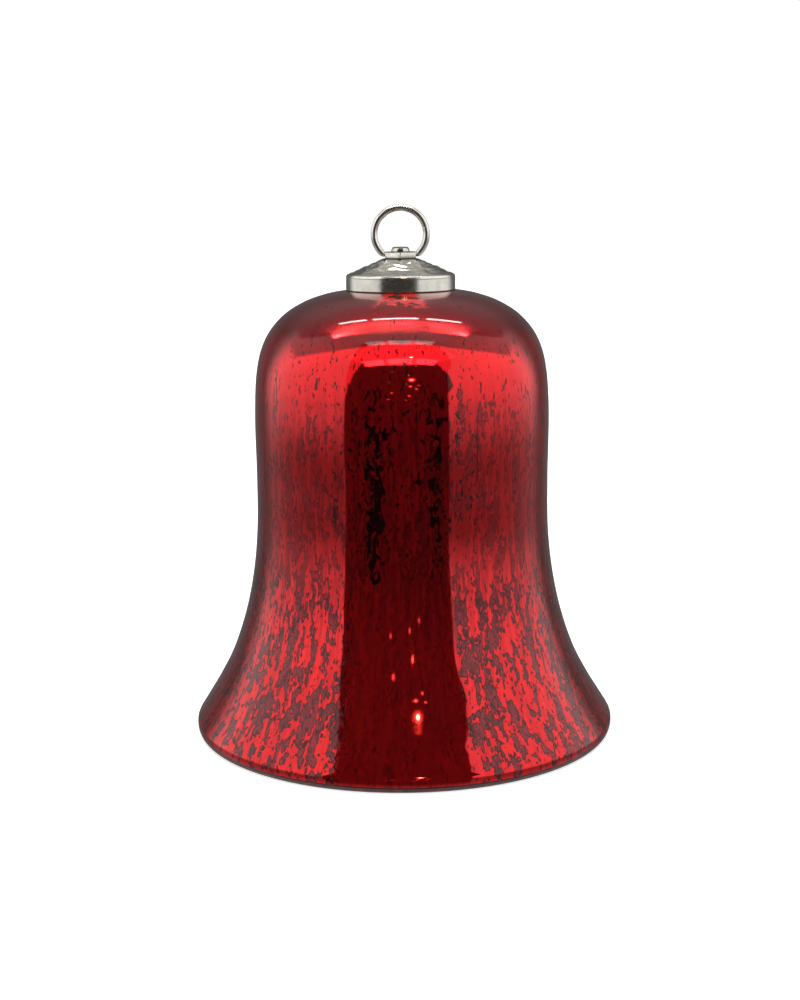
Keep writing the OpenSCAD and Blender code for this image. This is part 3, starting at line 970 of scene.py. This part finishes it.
def clapper():
    loop_z = rod_hi.z - WIRE - 3.2 * MM
    bm = bmesh.new()
    wire_eye(bm, Vector((0, 0, loop_z)), 3.2 * MM, rod_lo.z + WIRE, "yz")
    rod = finished("clapper_wire", bm, smooth_angle=50, weighted=False)
    dress(rod, "clapper_rod", "clapper", "clapper_metal", mat_clapper)

    z0, z1 = ferrule_lo.z / MM, ferrule_hi.z / MM
    collar = [(0.9, z0, 0), (2.3, z0, 0.1), (2.3, z0 + 0.7, 0.2), (1.85, z0 + 1.1, 0.2),
              (1.8, z0 + 2.6, 0.1), (1.6, z0 + 2.8, 0.1), (1.6, z0 + 3.2, 0.1), (1.8, z0 + 3.4, 0.1),
              (1.8, z1 - 0.4, 0.3), (1.4, z1, 0.1), (0.9, z1, 0)]
    obj = lathe("clapper_collar", fillet(collar), 48)
    dress(obj, "clapper_ferrule", "clapper", "clapper_metal", mat_clapper)

    radius = (ball_hi.x - ball_lo.x) / 2 / MM
    middle = (ball_lo.z + ball_hi.z) / 2 / MM
    rise = (ball_hi.z - ball_lo.z) / 2 / MM
    shape = [Vector((0.9, middle - rise)) * MM]
    tilt = math.asin(rise / radius)
    for i in range(49):
        a = -tilt + 2 * tilt * i / 48
        seam = 0.10 * math.exp(-(math.degrees(a) / 1.6) ** 2)
        shape.append(Vector(((radius - seam) * math.cos(a), middle + radius * math.sin(a))) * MM)
    shape.append(Vector((0.9, middle + rise)) * MM)
    obj = lathe("clapper_ball_hollow", shape, 128, True, smooth_angle=50)
    dress(obj, "clapper_ball", "clapper", "clapper_metal", mat_clapper)

    z0, z1 = tip_lo.z / MM, tip_hi.z / MM
    cap_nut = [(0, z0, 0), (1.2, z0 + 0.1, 0.6), (2.3, z0 + 0.9, 0.6), (2.4, z0 + 1.5, 0.2),
               (2.4, z1 - 0.2, 0.1), (2.25, z1, 0.1), (0, z1, 0)]
    obj = lathe("clapper_tip_nut", fillet(cap_nut, False), 48, False)
    dress(obj, "clapper_nut", "clapper", "clapper_metal", mat_clapper)


bell()
neck_gasket()
cap()
hub()
hanger_screw()
ring()
washer("inner_seal", "inner_gasket", BORE_R - 1.8, "gasket_rubber", mat_rubber, 0.4)
spreader_plate()
washer("split_washer", "lock_washer", SHAFT_R, "zinc_steel", mat_zinc, 0.12, split=0.7 * MM)
hex_piece("clamp_nut_hex", "clamp_nut", 1.95, 0.45 * MM)
hex_piece("swivel_cup_hex", "swivel_cup", 1.05, 0.45 * MM)
swivel_eye()
clapper()

# ---------------------------------------------------------------- floor, light and camera


def floor():
    """A pale floor, clear from below so that the underside can be seen."""
    bm = bmesh.new()
    bmesh.ops.create_circle(bm, cap_ends=True, segments=96, radius=4.0)
    obj = finished("floor", bm, weighted=False)
    made, tree, shader = material("pale_floor")
    grain = tree.noise(tree.object_place(), 300, detail=2)
    tree.put(shader["Base Color"], tree.mix(grain, (0.80, 0.80, 0.80), (0.76, 0.76, 0.76)))
    shader["Roughness"].default_value = 0.8
    shader["Emission Color"].default_value = (1, 1, 1, 1)
    shader["Emission Strength"].default_value = 0.62
    clear = tree.add("ShaderNodeBsdfTransparent")
    both = tree.add("ShaderNodeMixShader")
    tree.links.new(tree.add("ShaderNodeNewGeometry").outputs["Backfacing"], both.inputs[0])
    principled, output = (next(n for n in tree.nodes if n.type == kind)
                          for kind in ("BSDF_PRINCIPLED", "OUTPUT_MATERIAL"))
    tree.links.new(principled.outputs[0], both.inputs[1])
    tree.links.new(clear.outputs[0], both.inputs[2])
    tree.links.new(both.outputs[0], output.inputs[0])
    obj.data.materials.append(made)
    obj.visible_glossy = False


def studio():
    """What the glass and the metal reflect, by direction in degrees: turn is to the right of straight
    towards the camera, side is that either way, and lift is up. Two tall white panels stand at the
    sides with a dark gap between them, under a ceiling panel, strips and windows, with a few small warm
    lights in the gap. The camera sees white instead."""
    world = bpy.data.worlds.new("studio")
    world.use_nodes = True
    bpy.context.scene.world = world
    tree = Tree(world.node_tree)
    way = tree.add("ShaderNodeTexCoord").outputs["Generated"]
    x, y, z = tree.xyz(way)
    degrees = 180 / math.pi
    turn = tree.times(tree.math("ARCTAN2", x, tree.times(y, -1.0)), degrees)
    lift = tree.times(tree.math("ARCSINE", z), degrees)
    side = tree.math("ABSOLUTE", turn)

    # The panels: the gap's right edge moves out with height, and the far ends fade.
    right_edge = tree.math("SUBTRACT", tree.step(lift, 14, 27, 35.5, 42.0),
                           tree.step(lift, 36, 50, 0.0, 3.0))
    right = tree.step(tree.math("SUBTRACT", turn, right_edge), -0.6, 0.6)
    left = tree.step(turn, -43.5, -44.7)
    far_end = tree.step(side, 138, 114)
    top = tree.line(side, 72, 112, 72, 34)
    under_top = tree.step(tree.math("SUBTRACT", lift, top), 3, -3)
    level = tree.math("ADD", tree.line(lift, -11.5, -4.0, 0.22, 0.72),
                      tree.line(lift, -6.5, 8, 0.0, 0.33))
    white = tree.times(tree.math("MAXIMUM", right, left), far_end, under_top, level)
    ceiling = tree.times(tree.step(lift, 55, 57), tree.step(lift, 88, 82), tree.step(side, 80, 62), 1.4)
    white = tree.math("MAXIMUM", white, ceiling)

    # The room's own light: dim, a little brighter behind the bell and under it.
    high_back = tree.times(tree.step(side, 60, 100), tree.step(lift, 20, 45, 0.0, 0.25))
    gloom = tree.math("ADD", tree.line(side, 50, 140, 0.035, 0.12), high_back)
    below = tree.line(lift, -22, -50, 0.0, 0.40)
    light = tree.math("ADD", tree.math("ADD", white, gloom), below)

    # Strips behind and windows in front, on the plane one unit overhead.
    u = tree.math("DIVIDE", x, tree.math("MAXIMUM", z, 0.02))
    v = tree.math("DIVIDE", y, tree.math("MAXIMUM", z, 0.02))
    overhead = tree.math("GREATER_THAN", z, 0.05)

    def patch(u0, u1, v0, v1, soft, strength):
        """A rectangle overhead with soft edges."""
        across = tree.times(tree.step(u, u0 - soft, u0 + soft), tree.step(u, u1 + soft, u1 - soft))
        along = tree.times(tree.step(v, v0 - soft, v0 + soft), tree.step(v, v1 + soft, v1 - soft))
        return tree.times(across, along, overhead, strength)

    for u0, u1 in ((-0.53, -0.25), (-0.20, 0.12), (0.18, 0.50)):
        light = tree.math("ADD", light, patch(u0, u1, 0.265, 0.325, 0.010, 27.0))
    for u0, u1, strength in ((-0.46, -0.22, 5.5), (-0.17, 0.13, 6.0), (0.17, 0.42, 5.5)):
        light = tree.math("ADD", light, patch(u0, u1, -0.62, -0.46, 0.03, strength))

    # The warm lights: (turn, lift, radius, strength). The strongest has a halo.
    spots = [(-7.5, 20, 1.1, 3), (7.5, 29, 1.3, 6), (6, 16, 1.0, 6), (-10, 11, 0.9, 2), (4, 10, 0.8, 3),
             (11, 7.5, 0.9, 3), (9, 37, 1.3, 90), (9, 37, 3.4, 1.2), (12, 25, 0.8, 6), (14, 30, 0.7, 5)]
    warm = 0.0
    for azimuth, height, radius, strength in spots:
        a, e = math.radians(azimuth), math.radians(height)
        aim = (math.sin(a) * math.cos(e), -math.cos(a) * math.cos(e), math.sin(e))
        near = tree.vector("DOT_PRODUCT", way, aim)
        lit = tree.step(near, math.cos(math.radians(radius)), math.cos(math.radians(radius * 0.4)))
        warm = tree.fit(lit, float(strength), warm)
    glow = tree.vector("MULTIPLY", tree.join(warm, warm, warm), (1.0, 0.62, 0.35))

    reflected = tree.add("ShaderNodeBackground")
    tree.links.new(tree.vector("ADD", tree.join(light, light, light), glow), reflected.inputs[0])
    backdrop = tree.add("ShaderNodeBackground")
    backdrop.inputs[0].default_value = (1, 1, 1, 1)
    pick = tree.add("ShaderNodeMixShader")
    tree.links.new(tree.add("ShaderNodeLightPath").outputs["Is Camera Ray"], pick.inputs[0])
    tree.links.new(reflected.outputs[0], pick.inputs[1])
    tree.links.new(backdrop.outputs[0], pick.inputs[2])
    tree.links.new(pick.outputs[0], tree.add("ShaderNodeOutputWorld").inputs[0])


def hardware_light(pieces):
    """A wide soft light above and behind, for the metal fittings only."""
    data = bpy.data.lights.new("hardware_light", "AREA")
    data.shape = "RECTANGLE"
    data.size = 0.7
    data.size_y = 0.5
    data.energy = 0.15
    data.color = (1.0, 0.97, 0.90)
    obj = placed("hardware_light", data)
    obj.location = (0, 0.28, 0.60)
    aim = Vector((0, 0, cap_hi.z)) - obj.location
    obj.rotation_mode = "QUATERNION"
    obj.rotation_quaternion = aim.to_track_quat("-Z", "Y")
    obj.visible_camera = False
    lit = bpy.data.collections.new("metal_fittings")
    for name in pieces:
        lit.objects.link(bpy.data.objects[name])
    obj.light_linking.receiver_collection = lit


def camera():
    """The front view, from a little above."""
    data = bpy.data.cameras.new("camera")
    data.lens = 58.56
    data.sensor_width = 36
    data.clip_start = 0.05
    data.clip_end = 20
    obj = placed("camera", data)
    to_left, distance, height = 0.0011, 0.7008, 0.2350
    obj.location = (-to_left, -distance, height)
    obj.rotation_mode = "XYZ"
    pitch, roll = math.radians(10.83), math.radians(0.5)
    aim = Vector((0, math.cos(pitch), -math.sin(pitch)))
    turn = aim.to_track_quat("-Z", "Y").to_matrix()
    obj.rotation_euler = (turn @ Matrix.Rotation(-roll, 3, Vector((0, 0, 1)))).to_euler()
    bpy.context.scene.camera = obj


floor()
studio()
hardware_light(["pressed_cap", "hex_hub", "hanger_screw_turned", "hanging_ring_wire"])
camera()
bpy.context.scene.view_settings.view_transform = "Standard"
